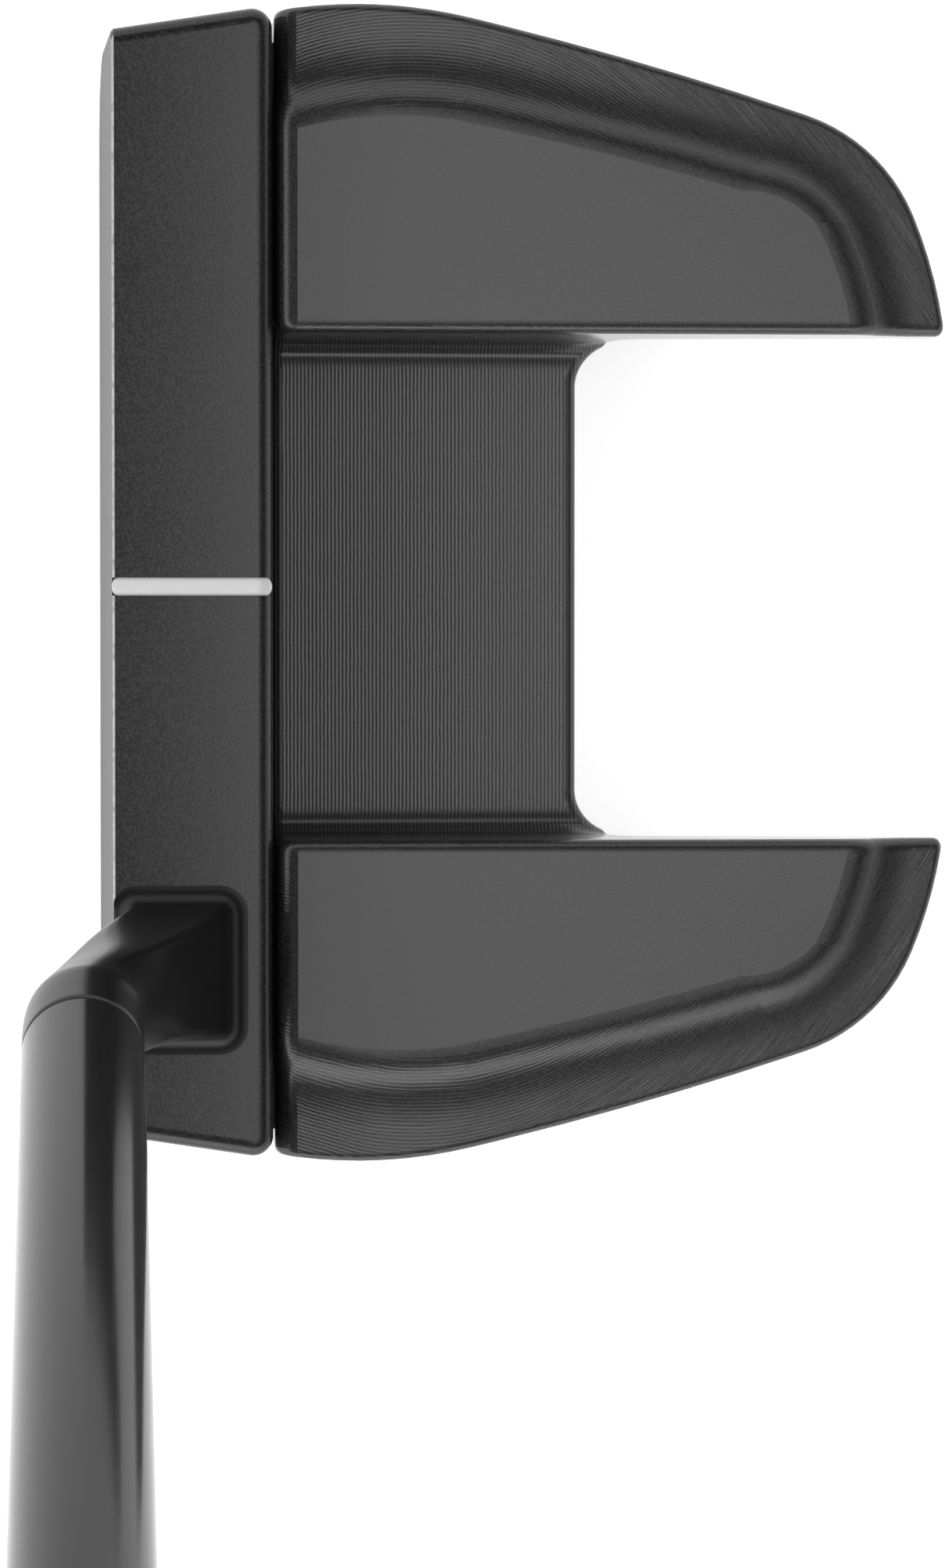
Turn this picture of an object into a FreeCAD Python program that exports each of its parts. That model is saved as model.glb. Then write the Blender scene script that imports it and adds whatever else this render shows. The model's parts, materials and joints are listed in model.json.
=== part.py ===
"""A right-handed mallet putter with two swept wings, an offset neck, a steel shaft and a pistol grip.

Frame: the origin is the centre of the flat sole, +X runs from the face to the back, +Y towards the toe
and +Z up. The club stands as a player addresses the ball, so the shaft leans towards -Y.
"""
import FreeCAD, Part
import math
import os
import Sketcher
from FreeCAD import Placement, Rotation, Vector

doc = FreeCAD.newDocument("mallet_putter")

# ---------------------------------------------------------------- driving dimensions, mm and degrees
DIMENSIONS = {
    # front bar
    "topline": 25.0,             # height of the bar
    "face_setback": 20.0,        # origin to the face's top edge
    "bar_depth": 13.6,           # topline thickness, face to back
    "bar_toe": 49.3,             # sight line to the bar's toe end
    "bar_heel": 48.8,            # sight line to the bar's heel end
    "end_skew": 2.1,             # how much shorter the bar is at the face
    "loft": 2.3,
    "bar_corner": 8.0,           # rounding of the bar's lower ends
    "back_round": 1.4,           # rounding of the bar's top back edge and ends
    "upright_round": 1.7,        # rounding of the bar's upright back corners
    "face_chamfer": 0.2,
    "line_width": 1.54,          # sight line groove
    "line_depth": 0.45,
    "line_recess": 0.05,         # paint level below the topline
    # rear body
    "part_gap": 0.25,            # parting gap between the bar and the flange
    "gasket_inset": 2.3,         # bar's heel end to the gasket's side
    "plateau": 24.6,             # height of the wings' tops
    "rim": 22.5,                 # height of the lowered rim
    "rim_width": 0.8,            # from the step's own line to the foot of its cove
    "cove_radius": 10.5,         # the step's section: a shallow cove, a tighter one, a slope and a brow
    "cove_turn": 17.0,
    "throat_radius": 5.0,
    "step_slope": 36.0,
    "brow_radius": 4.2,
    "step_widest_at": 4.5,       # the step's own line, which leaves the outline towards the front
    "step_reach": 47.2,
    "step_flank_radius": 325.0,
    "step_shoulder_turn": 11.5,
    "step_flank_turn": 16.1,
    "pocket_floor": 8.9,         # its height at the front
    "pocket_slope": 1.0,         # the floor rises towards the back
    "pocket_round": 2.4,         # cove between the pocket floor and the wings' walls
    "pocket_back": 20.85,        # origin to the pocket's open back edge
    "channel_half": 21.6,        # half the gap between the wings
    "channel_corner": 3.9,
    "edge_round": 1.1,           # rounding of the wings' inner edges
    "front_round": 1.87,         # rounding of the wings' front edges
    "rim_round": 0.7,            # rounding of the outer rim edge and the tips' upright edges
    "lip_round": 1.0,            # rounding of the pocket's open back edge
    "outline_bias": 0.25,        # the outline's centre, toe side of the sight line
    "widest_at": 1.2,
    "wing_reach": 49.47,         # half width at the widest point
    "shoulder_radius": 42.0,
    "flank_radius": 325.0,
    "corner_radius": 15.2,
    "tip_radius": 38.0,
    "shoulder_turn": 13.0,       # headings where one arc of the outline hands over to the next
    "flank_turn": 18.3,
    "corner_turn": 67.0,
    "tip_turn": 88.0,
    "sole_back": 14.0,           # origin to the flat sole's back end
    "heel_rise": 4.5,            # underside height where the sole's ramp meets the back wall
    "ramp_back": 21.8,
    "wing_under": 16.2,          # underside height of the wings at the back wall
    "tip_under": 18.3,           # underside height of the wings at their tips
    "wall_lean": 2.6,            # how far the wall above the ramp leans back
    "under_round": 3.0,          # cove between that wall and the wings' undersides
    "wing_corner": 10.0,         # rounding of the flange's lower ends
    # tongue, screws and dowels that join the two
    "tongue_reach": 6.5,
    "tongue_thick": 4.8,
    "tongue_half": 25.0,
    "tongue_clear": 0.2,
    "screw_radius": 1.5,
    "screw_head": 2.8,
    "screw_tip": 13.0,
    "dowel_radius": 1.5,
    "dowel_top": 10.0,
    "fit_clear": 0.02,
    "bore_relief": 0.5,          # how much deeper than its screw a threaded bore goes
    "screw_drive": 2.0,          # hexagon sockets, across the flats
    "plate_screw_drive": 1.5,
    "drive_depth": 1.3,
    "tip_chamfer": 0.3,
    "dowel_low": 1.2,            # height of the dowels' lower ends
    "dowel_chamfer": 0.25,
    # sole plate and cavity
    "plate_front": -4.2,
    "plate_back": 12.3,
    "plate_half": 21.0,
    "plate_thick": 1.2,
    "plate_corner": 3.0,
    "cavity_front": -1.6,
    "cavity_back": 9.7,
    "cavity_half": 15.5,
    "cavity_top": 6.2,
    "plate_screw_radius": 1.25,
    "plate_screw_head": 2.3,
    "plate_screw_at": 18.3,
    "plate_screw_tip": 6.0,
    # sole weights
    "weight_at": 32.0,
    "weight_x": 3.5,
    "weight_radius": 7.0,
    "weight_height": 5.6,
    "weight_sink": 0.3,
    "weight_socket": 5.0,        # across the flats
    "weight_socket_depth": 2.8,
    "weight_chamfer": 0.4,
    "weight_clear": 0.1,
    "insert_radius": 8.4,
    "insert_sink": 0.2,
    "ring_radius": 5.2,
    "ring_wire": 0.6,
    # neck
    "shaft_lean": 20.0,
    "joint_x": -22.47,
    "joint_y": -36.04,
    "joint_z": 69.2,
    "neck_x": -14.4,             # centre of the neck's foot
    "neck_y": -32.55,
    "neck_depth": 8.4,
    "neck_width": 11.1,
    "neck_corner": 1.6,
    "neck_flare": 1.7,           # height of the foot's fillet
    "collar_straight": 6.0,      # round length of the neck below the shaft
    "tenon_radius": 3.6,
    "tenon_length": 12.0,
    "post_radius": 3.8,
    "post_length": 26.0,
    "collar_share": 0.998,       # how nearly a rounded square closes to a circle at the collar
    "neck_screw_radius": 2.0,
    "neck_screw_head": 3.5,
    "neck_screw_head_height": 4.0,
    "neck_screw_tip": 20.0,
    "neck_screw_sink": 0.4,      # how far its head stands above the sole
    "neck_screw_drive": 3.0,
    "neck_screw_drive_depth": 2.4,
    "seat_clear": 0.15,
    "post_chamfer": 0.5,
    # shaft
    "shaft_radius": 4.7,
    "butt_radius": 7.45,
    "shaft_wall": 0.6,
    "straight_length": 170.0,
    "taper_end": 490.0,
    "club_length": 864.0,
    # grip
    "grip_length": 267.0,
    "tape_thick": 0.15,
    "wrap_thick": 1.1,
    "collar_length": 7.0,
    "cap_thick": 4.0,
    "cap_round": 1.2,
    "plug_length": 12.0,
    "plug_clear": 0.1,
    "vent_radius": 1.6,
    "grip_mouth": 19.6,          # the grip's round foot
    "grip_drop": 2.5,            # how far the deep end of the grip sits back from the shaft's axis
}

sheet = doc.addObject("Spreadsheet::Sheet", "dims")
for row, (alias, value) in enumerate(DIMENSIONS.items(), start=1):
    sheet.set(f"A{row}", alias)
    sheet.set(f"B{row}", str(value))
    sheet.setAlias(f"B{row}", alias)
doc.recompute()


def dim(expression):
    """The value of an expression in the sheet's aliases."""
    value = sheet.evalExpression(expression)
    return float(getattr(value, "Value", value))


# ---------------------------------------------------------------- PartDesign helpers
def new_body(label):
    body = doc.addObject("PartDesign::Body", label)
    body.Label = label
    return body


def new_sketch(body, name, role, height="0"):
    """A sketch on one of the body's origin planes, lifted along the plane's normal."""
    sketch = body.newObject("Sketcher::SketchObject", name)
    plane = next(f for f in body.Origin.OriginFeatures if f.Role == role)
    sketch.AttachmentSupport = [(plane, "")]
    sketch.MapMode = "FlatFace"
    if height != "0":
        sketch.setExpression(".AttachmentOffset.Base.z", bound(height))
        sketch.AttachmentOffset = Placement(Vector(0, 0, dim(height)), Rotation())
    return sketch


def bound(expression):
    """The same expression, with each alias read from the sheet."""
    words = []
    word = ""
    for letter in expression + " ":
        if letter.isalnum() or letter == "_":
            word += letter
            continue
        words.append(f"dims.{word}" if word in DIMENSIONS else word)
        words.append(letter)
        word = ""
    return "".join(words).strip()


def fix(sketch, kind, geometry, vertex, expression):
    """Holds a point's distance from the sketch's origin at an expression."""
    value = dim(expression)
    index = sketch.addConstraint(Sketcher.Constraint(kind, -1, 1, geometry, vertex, value))
    sketch.setExpression(f"Constraints[{index}]", bound(expression))


def add_polygon(sketch, corners):
    points = [Vector(dim(x), dim(y), 0) for x, y in corners]
    count = len(points)
    first = sketch.GeometryCount
    for i in range(count):
        sketch.addGeometry(Part.LineSegment(points[i], points[(i + 1) % count]), False)
    for i in range(count):
        following = first + (i + 1) % count
        sketch.addConstraint(Sketcher.Constraint("Coincident", first + i, 2, following, 1))
    for i, (x, y) in enumerate(corners):
        fix(sketch, "DistanceX", first + i, 1, x)
        fix(sketch, "DistanceY", first + i, 1, y)


def add_circle(sketch, x, y, radius):
    index = sketch.GeometryCount
    sketch.addGeometry(Part.Circle(Vector(dim(x), dim(y), 0), Vector(0, 0, 1), dim(radius)), False)
    fix(sketch, "DistanceX", index, 3, x)
    fix(sketch, "DistanceY", index, 3, y)
    held = sketch.addConstraint(Sketcher.Constraint("Radius", index, dim(radius)))
    sketch.setExpression(f"Constraints[{held}]", bound(radius))


def add_rectangle(sketch, left, right, low, high):
    add_polygon(sketch, [(left, low), (right, low), (right, high), (left, high)])


def add_pad(body, sketch, length):
    pad = body.newObject("PartDesign::Pad", "pad_" + sketch.Name)
    pad.Profile = sketch
    pad.Length = dim(length)
    pad.setExpression("Length", bound(length))
    return pad


def add_pocket(body, sketch, length=None, upwards=True):
    """Cuts the sketch through everything, or to a length above or below its plane."""
    pocket = body.newObject("PartDesign::Pocket", "pocket_" + sketch.Name)
    pocket.Profile = sketch
    if length is None:
        pocket.Type = "ThroughAll"
        pocket.Midplane = True
    else:
        pocket.Length = dim(length)
        pocket.setExpression("Length", bound(length))
        pocket.Reversed = upwards
    return pocket


def dress(body, kind, name, edges, size):
    """A Fillet or Chamfer on the tip's edges that a test picks."""
    doc.recompute()
    base = body.Tip
    picked = [f"Edge{i}" for i, edge in enumerate(base.Shape.Edges, start=1) if edges(edge)]
    feature = body.newObject("PartDesign::" + kind, name)
    feature.Base = (base, picked)
    if kind == "Fillet":
        feature.Radius = dim(size)
        feature.setExpression("Radius", bound(size))
    else:
        feature.Size = dim(size)
        feature.setExpression("Size", bound(size))
    return feature


def spans(edge, axis, low, high):
    """True if the whole edge lies between two values of one coordinate."""
    box = edge.BoundBox
    return getattr(box, axis + "Min") > low and getattr(box, axis + "Max") < high


NEAR = 0.01

# ---------------------------------------------------------------- face_bar
bar_back = "bar_depth - face_setback"
loft_run = "topline * tan(loft * 1deg)"
tongue_front = "bar_depth - face_setback - tongue_reach"
screw_x = "bar_depth - face_setback - tongue_reach / 2"
SCREW_ROW = (-20.5, -9.5, 9.5, 20.5)
DOWEL_ROW = (-15.0, 15.0)

face_bar = new_body("face_bar")
plan = new_sketch(face_bar, "bar_plan", "XY_Plane")
front = "0 - face_setback - 2"
front_skew = "end_skew * (bar_depth + 2) / bar_depth"
add_polygon(plan, [
    (front, f"{front_skew} - bar_heel"),
    (bar_back, "0 - bar_heel"),
    (bar_back, "bar_toe"),
    (front, f"bar_toe - {front_skew}"),
])
add_pad(face_bar, plan, "topline")

loft_cut = new_sketch(face_bar, "loft_cut", "XZ_Plane")
add_polygon(loft_cut, [
    ("0 - face_setback", "topline + 1"),
    ("0 - face_setback", "topline"),
    (f"0 - face_setback - {loft_run}", "0"),
    (f"0 - face_setback - {loft_run}", "0 - 1"),
    ("0 - face_setback - 4", "0 - 1"),
    ("0 - face_setback - 4", "topline + 1"),
])
add_pocket(face_bar, loft_cut)

dress(face_bar, "Fillet", "lower_corners",
      lambda e: spans(e, "Z", -NEAR, NEAR) and abs(e.BoundBox.Center.y) > dim("tongue_half"), "bar_corner")
dress(face_bar, "Fillet", "upright_corners",
      lambda e: spans(e, "X", dim(bar_back) - NEAR, dim(bar_back) + NEAR)
      and e.BoundBox.YLength < 12 and e.BoundBox.ZLength > 1, "upright_round")

rebate = new_sketch(face_bar, "tongue_rebate", "XY_Plane")
add_rectangle(rebate, f"{tongue_front} - tongue_clear", "0", "0 - tongue_half - tongue_clear",
              "tongue_half + tongue_clear")
add_pocket(face_bar, rebate, "tongue_thick + tongue_clear")

dress(face_bar, "Fillet", "top_edges",
      lambda e: spans(e, "Z", dim("topline") - NEAR, dim("topline") + NEAR)
      and e.BoundBox.XMax > 1 - dim("face_setback"), "back_round")
dress(face_bar, "Chamfer", "face_top_edge",
      lambda e: spans(e, "Z", dim("topline") - NEAR, dim("topline") + NEAR)
      and e.BoundBox.XLength < 0.1 and e.BoundBox.YLength > 80 and e.BoundBox.XMax < -15, "face_chamfer")

groove = new_sketch(face_bar, "sight_groove", "XY_Plane", "topline")
add_rectangle(groove, "0 - face_setback - 2", "0", "0 - line_width / 2", "line_width / 2")
add_pocket(face_bar, groove, "line_depth", upwards=False)

screw_bores = new_sketch(face_bar, "screw_bores", "XY_Plane")
for y in SCREW_ROW:
    add_circle(screw_bores, screw_x, str(y), "screw_radius + fit_clear")
add_pocket(face_bar, screw_bores, "screw_tip + bore_relief")
dowel_bores = new_sketch(face_bar, "dowel_bores", "XY_Plane")
for y in DOWEL_ROW:
    add_circle(dowel_bores, screw_x, str(y), "dowel_radius + fit_clear")
add_pocket(face_bar, dowel_bores, "dowel_top + bore_relief")

tenon_bore = new_sketch(face_bar, "tenon_bore", "XY_Plane", "topline")
add_circle(tenon_bore, "neck_x", "neck_y", "tenon_radius + fit_clear")
add_pocket(face_bar, tenon_bore, "tenon_length + bore_relief", upwards=False)
neck_screw_bore = new_sketch(face_bar, "neck_screw_bore", "XY_Plane")
add_circle(neck_screw_bore, "neck_x", "neck_y", "neck_screw_radius + seat_clear")
add_pocket(face_bar, neck_screw_bore, "topline - tenon_length")
neck_screw_seat = new_sketch(face_bar, "neck_screw_seat", "XY_Plane")
add_circle(neck_screw_seat, "neck_x", "neck_y", "neck_screw_head + seat_clear")
add_pocket(face_bar, neck_screw_seat, "neck_screw_head_height + neck_screw_sink")

# ---------------------------------------------------------------- sight_line: paint in the groove
sight_line = new_body("sight_line")
paint = new_sketch(sight_line, "paint_plan", "XY_Plane", "topline - line_depth")
add_rectangle(paint, "0.1 - face_setback", f"{bar_back} - back_round", "0.02 - line_width / 2",
              "line_width / 2 - 0.02")
add_pad(sight_line, paint, "line_depth - line_recess")


# ---------------------------------------------------------------- wing_flange
def arc_chain(start, heading, arcs):
    """Tangent arcs from a start point and heading; each arc has a radius and turns clockwise by degrees."""
    edges = []
    point = start
    for radius, turn in arcs:
        centre = point + Vector(math.sin(heading), -math.cos(heading), 0) * radius

        def at(angle):
            return centre + Vector(-math.sin(angle), math.cos(angle), 0) * radius
        half, end = heading - math.radians(turn / 2), heading - math.radians(turn)
        edges.append(Part.Arc(point, at(half), at(end)).toShape())
        point, heading = at(end), end
    return edges, point, heading


def wing_line(widest_at, reach, flank_radius, shoulder_turn, flank_turn):
    """A line round the toe-side wing, from ahead of the parting face to past the wing's tip."""
    widest = Vector(widest_at, reach, 0)
    ahead = 18.0
    forward, start, heading = arc_chain(widest, math.pi, [(-dim("shoulder_radius"), -ahead)])
    back_arcs = [
        (dim("shoulder_radius"), shoulder_turn),
        (flank_radius, flank_turn - shoulder_turn),
        (dim("corner_radius"), dim("corner_turn") - flank_turn),
        (dim("tip_radius"), dim("tip_turn - corner_turn")),
    ]
    backward, end, heading = arc_chain(widest, 0.0, back_arcs)
    return start, forward + backward, end


def mirrored(shape):
    """A shape's copy on the other side of the outline's own centre line."""
    return shape.mirror(Vector(0, 0, 0), Vector(0, 1, 0))


def step_cutter():
    """What the wings' step removes: a section of two coves, a slope and a brow, swept along its own line."""
    start, line, _ = wing_line(dim("step_widest_at"), dim("step_reach"), dim("step_flank_radius"),
                               dim("step_shoulder_turn"), dim("step_flank_turn"))
    rim, top, foot = dim("rim"), dim("plateau"), dim("rim_width")
    turn, slope = math.radians(dim("cove_turn")), math.radians(dim("step_slope"))
    cove, throat, brow = dim("cove_radius"), dim("throat_radius"), dim("brow_radius")

    def climb(angle):
        """Distance in and height up from the cove's foot to where its surface has some slope."""
        first = min(angle, turn)
        inward = cove * math.sin(first) + throat * (math.sin(angle) - math.sin(first))
        up = cove * (1 - math.cos(first)) + throat * (math.cos(first) - math.cos(angle))
        return inward, up
    inward, up = climb(slope)
    slope_rise = top - rim - up - brow * (1 - math.cos(slope))
    crest = foot + inward + slope_rise / math.tan(slope) + brow * math.sin(slope)
    outside, above = -4, top + 2

    def at(distance, height):
        return Vector(start.x, start.y - distance, height)

    def on_cove(angle):
        return at(foot + climb(angle)[0], rim + climb(angle)[1])

    def on_brow(angle):
        return at(crest - brow * math.sin(angle), top - brow * (1 - math.cos(angle)))
    section = Part.Wire([
        Part.LineSegment(at(outside, rim), on_cove(0)).toShape(),
        Part.Arc(on_cove(0), on_cove(turn / 2), on_cove(turn)).toShape(),
        Part.Arc(on_cove(turn), on_cove((turn + slope) / 2), on_cove(slope)).toShape(),
        Part.LineSegment(on_cove(slope), on_brow(slope)).toShape(),
        Part.Arc(on_brow(slope), on_brow(slope / 2), on_brow(0)).toShape(),
        Part.LineSegment(on_brow(0), at(crest, above)).toShape(),
        Part.LineSegment(at(crest, above), at(outside, above)).toShape(),
        Part.LineSegment(at(outside, above), at(outside, rim)).toShape(),
    ])
    return Part.Wire(line).makePipeShell([section], True, False)


def box(low, high):
    size = high - low
    return Part.makeBox(size.x, size.y, size.z, low)


def prism(points, direction):
    """A polygon's face pushed along a direction."""
    return Part.Face(Part.makePolygon(points + points[:1])).extrude(direction)


def fillet(shape, radius, test):
    return shape.makeFillet(radius, [edge for edge in shape.Edges if test(edge)])


def on_plane(edge, axis, value, near=NEAR):
    ends = [getattr(edge.BoundBox, axis + end) for end in ("Min", "Max")]
    return all(abs(end - value) < near for end in ends)


def beside_wall(shape, edge):
    """True if one of the edge's faces is upright there."""
    middle = edge.valueAt((edge.FirstParameter + edge.LastParameter) / 2)
    return any(abs(face.normalAt(*face.Surface.parameter(middle)).z) < 0.02
               for face in shape.ancestorsOfType(edge, Part.Face))


def upright(x, y, low, high, radius):
    """A cylinder about an upright axis, between two heights."""
    return Part.makeCylinder(radius, high - low, Vector(x, y, low))


def countersink(x, y, head, shank, low=0.0):
    """The cone of a countersunk head whose wide end is at the bottom."""
    return Part.makeCone(head, shank, head - shank, Vector(x, y, low))


def rounded_plate(left, right, half, corner, low, high):
    plate = box(Vector(left, -half, low), Vector(right, half, high))
    return fillet(plate, corner, lambda e: e.BoundBox.XLength + e.BoundBox.YLength < NEAR)


def floor_height(x):
    """Height of the pocket's floor at a place along X."""
    run = x - dim(f"{bar_back} + part_gap")
    return dim("pocket_floor") + run * math.tan(math.radians(dim("pocket_slope")))


def flange_blank():
    """The two wings on their body, with the channel, pocket and underside cut and no small roundings."""
    front_x = dim(f"{bar_back} + part_gap")
    start, outline, end = wing_line(dim("widest_at"), dim("wing_reach"), dim("flank_radius"),
                                    dim("shoulder_turn"), dim("flank_turn"))
    inner = Part.makePolygon([end, Vector(end.x, 0, 0), Vector(start.x, 0, 0), start])
    half = Part.Face(Part.Wire(outline + inner.Edges)).extrude(Vector(0, 0, dim("plateau")))
    half = half.cut(step_cutter())
    ahead = box(Vector(front_x - 40, -80, -1), Vector(front_x, 80, 60))
    wings = half.fuse(mirrored(half)).removeSplitter().cut(ahead)
    wings.translate(Vector(0, dim("outline_bias"), 0))

    reach, gap = dim("channel_half"), dim("channel_corner")
    back = dim("pocket_back")
    channel = box(Vector(back, -reach, -1), Vector(90, reach, 60))
    channel = fillet(channel, gap, lambda e: on_plane(e, "X", back) and e.BoundBox.ZLength > 1)
    pocket_front, pocket_end = front_x - 5, back + gap + 1
    corners = [(pocket_front, floor_height(pocket_front)), (pocket_end, floor_height(pocket_end)),
               (pocket_end, 60), (pocket_front, 60)]
    pocket = prism([Vector(x, -reach, z) for x, z in corners], Vector(0, 2 * reach, 0))
    pocket = fillet(pocket, dim("pocket_round"),
                    lambda e: e.BoundBox.XLength > 1 and e.BoundBox.ZMax < dim("rim"))

    ramp, under = dim("ramp_back"), dim("wing_under")
    side = [Vector(dim("sole_back"), -80, 0), Vector(ramp, -80, dim("heel_rise")),
            Vector(ramp + dim("wall_lean"), -80, under), Vector(60, -80, dim("tip_under")),
            Vector(60, -80, -1), Vector(dim("sole_back"), -80, -1)]
    below = prism(side, Vector(0, 160, 0))
    below = fillet(below, dim("under_round"),
                   lambda e: on_plane(e, "Z", under) and e.BoundBox.YLength > 1)

    edge = dim("wing_reach") + 0.5
    envelope = box(Vector(-40, -edge, 0), Vector(80, edge, 60))
    envelope = fillet(envelope, dim("wing_corner"),
                      lambda e: on_plane(e, "Z", 0) and e.BoundBox.XLength > 1)
    return wings.cut(channel).cut(pocket).cut(below).common(envelope)


def rounded_flange(body):
    """The blank with its front, inner, rim and pocket edges rounded; the rim's runs on down the tips."""
    front_x = dim(f"{bar_back} + part_gap")
    rim, reach = dim("rim"), dim("channel_half")
    back = dim("pocket_back")

    def top_front(edge):
        return edge.BoundBox.ZMin > rim - NEAR and on_plane(edge, "X", front_x)

    def top_inner(edge):
        along = any(on_plane(edge, "Y", side * reach) for side in (-1, 1))
        return edge.BoundBox.ZMin > rim - NEAR and along

    def outer_rim(edge):
        size = edge.BoundBox
        outside = abs(size.Center.y) > reach + 0.2
        return outside and on_plane(edge, "Z", rim) and size.XLength > 0.3 and beside_wall(body, edge)

    def pocket_lip(edge):
        return on_plane(edge, "X", back) and on_plane(edge, "Z", floor_height(back))
    body = fillet(body, dim("front_round"), top_front)
    body = fillet(body, dim("edge_round"), top_inner)
    body = fillet(body, dim("rim_round"), outer_rim)
    return fillet(body, dim("lip_round"), pocket_lip)


def flange_shape():
    """The rounded flange with its tongue, and its holes for screws, dowels, weights and the sole plate."""
    tongue_x = dim(tongue_front)
    hole_x = dim(screw_x)
    clear = dim("fit_clear")
    half = dim("tongue_half")
    tongue = box(Vector(tongue_x, -half, 0), Vector(0, half, dim("tongue_thick")))
    cuts = []
    for y in SCREW_ROW:
        cuts.append(upright(hole_x, y, -1, 8, dim("screw_radius") + clear))
        cuts.append(countersink(hole_x, y, dim("screw_head") + clear, dim("screw_radius") + clear))
    for y in DOWEL_ROW:
        cuts.append(upright(hole_x, y, 1, 8, dim("dowel_radius") + clear))
    plate = [dim("plate_front") - clear, dim("plate_back") + clear, dim("plate_half") + clear]
    cuts.append(rounded_plate(*plate, dim("plate_corner"), -1, dim("plate_thick")))
    cavity = [dim("cavity_front"), dim("cavity_back"), dim("cavity_half")]
    cuts.append(rounded_plate(*cavity, dim("plate_corner"), 0, dim("cavity_top")))
    for y in (-1, 1):
        at = plate_screw_x, y * dim("plate_screw_at")
        cuts.append(upright(*at, 0, dim("plate_screw_tip + bore_relief"),
                                 dim("plate_screw_radius") + clear))
        at = dim("weight_x"), y * dim("weight_at")
        cuts.append(upright(*at, -1, dim("weight_height + weight_sink"), dim("insert_radius") + clear))
        cuts.append(upright(*at, 0, dim("weight_height + weight_sink") + ring_room,
                                 dim("weight_radius")))
    body = rounded_flange(flange_blank()).fuse(tongue).removeSplitter()
    return body.cut(Part.makeCompound(cuts))


def add_feature(label, shape, placement=None):
    """A sub-part whose shape comes from Part's own functions."""
    feature = doc.addObject("Part::Feature", label)
    feature.Label = label
    feature.Shape = shape
    if placement:
        feature.Placement = placement
    return feature


plate_screw_x = dim("(plate_front + plate_back) / 2")
ring_room = dim("2 * ring_wire")
wing_flange = add_feature("wing_flange", flange_shape())


# ---------------------------------------------------------------- damping_gasket in the parting gap
damping_gasket = new_body("damping_gasket")
gasket = new_sketch(damping_gasket, "gasket_face", "YZ_Plane", bar_back)
gasket_low = "tongue_thick + tongue_clear + 0.2"
gasket_top = "rim - front_round - 0.2"
gasket_side = "(bar_heel - gasket_inset)"
add_polygon(gasket, [
    (f"0 - {gasket_side}", gasket_low),
    (gasket_side, gasket_low),
    (gasket_side, gasket_top),
    ("channel_half + 1", gasket_top),
    ("channel_half + 1", "pocket_floor - 1"),
    ("0 - channel_half - 1", "pocket_floor - 1"),
    ("0 - channel_half - 1", gasket_top),
    (f"0 - {gasket_side}", gasket_top),
])
add_pad(damping_gasket, gasket, "part_gap")


# ---------------------------------------------------------------- fasteners
def flat_screw(head, shank, tip, drive):
    """A countersunk screw along Z, its head flush with the sole and a hexagon socket in it."""
    cone = Part.makeCone(head, shank, head - shank)
    body = Part.makeCylinder(shank, tip).fuse(cone).removeSplitter()
    body = body.makeChamfer(dim("tip_chamfer"), [e for e in body.Edges if on_plane(e, "Z", tip)])
    return body.cut(hexagon(drive, dim("drive_depth")))


def hexagon(across_flats, depth):
    corner = across_flats / math.sqrt(3)
    points = [Vector(corner * math.cos(math.radians(60 * i)), corner * math.sin(math.radians(60 * i)), 0)
              for i in range(6)]
    return prism(points, Vector(0, 0, depth))


def copies(shape, places):
    """One compound of a shape at several places."""
    placed = []
    for x, y, z in places:
        one = shape.copy()
        one.translate(Vector(x, y, z))
        placed.append(one)
    return Part.makeCompound(placed)


flange_screws = add_feature("flange_screws", copies(
    flat_screw(dim("screw_head"), dim("screw_radius"), dim("screw_tip"), dim("screw_drive")),
    [(dim(screw_x), y, 0) for y in SCREW_ROW]))
plate_screw = flat_screw(dim("plate_screw_head"), dim("plate_screw_radius"), dim("plate_screw_tip"),
                         dim("plate_screw_drive"))
plate_screws = add_feature("sole_plate_screws", copies(
    plate_screw, [(plate_screw_x, y * dim("plate_screw_at"), 0) for y in (-1, 1)]))

dowel = Part.makeCylinder(dim("dowel_radius"), dim("dowel_top - dowel_low"))
dowel = dowel.makeChamfer(dim("dowel_chamfer"), [e for e in dowel.Edges if e.BoundBox.ZLength < NEAR])
dowel_pins = add_feature("dowel_pins", copies(
    dowel, [(dim(screw_x), y, dim("dowel_low")) for y in DOWEL_ROW]))

# ---------------------------------------------------------------- sole_plate
sole_plate = new_body("sole_plate")
plate = new_sketch(sole_plate, "plate_plan", "XY_Plane")
add_rectangle(plate, "plate_front", "plate_back", "0 - plate_half", "plate_half")
add_pad(sole_plate, plate, "plate_thick")
dress(sole_plate, "Fillet", "plate_corners", lambda e: e.BoundBox.ZLength > 0.5, "plate_corner")
for side, name in ((-1, "heel"), (1, "toe")):
    seat = sole_plate.newObject("PartDesign::SubtractiveCone", "seat_" + name)
    seat.Radius1 = dim("plate_screw_head + fit_clear")
    seat.Radius2 = dim("plate_screw_radius + weight_clear")
    seat.Height = dim("plate_thick")
    seat.setExpression("Radius1", bound("plate_screw_head + fit_clear"))
    seat.setExpression("Radius2", bound("plate_screw_radius + weight_clear"))
    seat.setExpression("Height", bound("plate_thick"))
    seat.AttachmentSupport = [(plate.AttachmentSupport[0][0], "")]
    seat.MapMode = "FlatFace"
    seat.AttachmentOffset = Placement(Vector(plate_screw_x, side * dim("plate_screw_at"), 0), Rotation())
    seat.setExpression(".AttachmentOffset.Base.y", bound(f"{side} * plate_screw_at"))

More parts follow.
